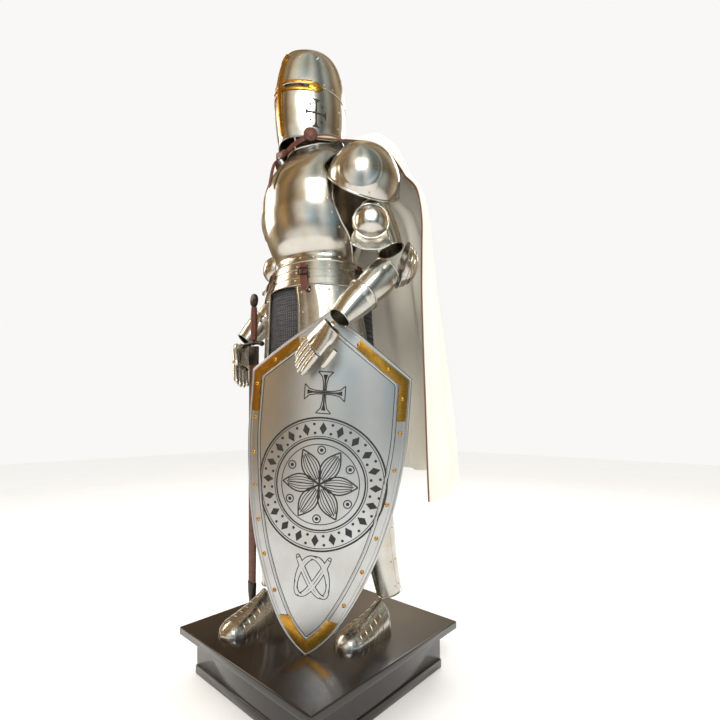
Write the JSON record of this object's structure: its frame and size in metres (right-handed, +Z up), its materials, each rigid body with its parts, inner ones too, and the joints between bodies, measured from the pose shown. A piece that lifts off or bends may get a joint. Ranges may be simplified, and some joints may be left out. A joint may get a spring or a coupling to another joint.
{
  "type": "suit of plate armour on a plinth",
  "caption": "Hollow full plate harness with great helm, white mantle, tall engraved shield and sheathed sword, posed standing on a low box plinth.",
  "frame": {"origin": "centre of the plinth's underside, on the floor", "axes": "+Z up; the figure faces -Y; +X is the figure's left"},
  "size_m": [0.7034, 0.721, 1.956],
  "materials": {
    "armour_steel": "polished and lightly brushed plate steel",
    "brass": "polished sheet brass",
    "mail": "dull linked steel mail",
    "brown_leather": "smooth red-brown leather",
    "white_cloth": "matt off-white woven wool",
    "dark_steel": "dark bronzed iron",
    "black_painted_wood": "near-black painted wood with a low gloss"
  },
  "bodies": {
    "root": {"stand_board": "black_painted_wood", "stand_box": "black_painted_wood", "helm_skull": "armour_steel", "helm_face": "armour_steel", "helm_nape": "armour_steel", "helm_cross": "brass", "breastplate": "armour_steel", "backplate": "armour_steel", "fauld": "armour_steel", "mail_skirt": "mail", "tasset_left": "armour_steel", "tasset_right": "armour_steel", "tasset_strap": "brown_leather", "pauldron_left": "armour_steel", "rerebrace_left": "armour_steel", "couter_wing_left": "armour_steel", "couter_left": "armour_steel", "vambrace_left": "armour_steel", "gauntlet_cuff_left": "armour_steel", "gauntlet_hand_left": "armour_steel", "finger_index_left": "armour_steel", "finger_middle_left": "armour_steel", "finger_ring_left": "armour_steel", "finger_little_left": "armour_steel", "thumb_left": "armour_steel", "pauldron_right": "armour_steel", "rerebrace_right": "armour_steel", "couter_wing_right": "armour_steel", "couter_right": "armour_steel", "vambrace_right": "armour_steel", "gauntlet_cuff_right": "armour_steel", "gauntlet_hand_right": "armour_steel", "finger_index_right": "armour_steel", "finger_middle_right": "armour_steel", "finger_ring_right": "armour_steel", "finger_little_right": "armour_steel", "thumb_right": "armour_steel", "cuisse_left": "armour_steel", "poleyn_left": "armour_steel", "greave_left": "armour_steel", "sabaton_left": "armour_steel", "cuisse_right": "armour_steel", "poleyn_right": "armour_steel", "greave_right": "armour_steel", "sabaton_right": "armour_steel", "mantle": "white_cloth", "mantle_strap": "brown_leather", "mantle_boss_middle": "brown_leather", "mantle_boss_left": "brown_leather", "mantle_boss_right": "brown_leather", "mantle_strap_end": "brown_leather", "shield_plate": "armour_steel", "shield_mount_tip": "brass", "shield_mount_left": "brass", "shield_mount_right": "brass", "sword_scabbard": "brown_leather", "sword_guard": "dark_steel", "sword_grip": "brown_leather", "sword_pommel": "dark_steel"}
  },
  "joints": []
}
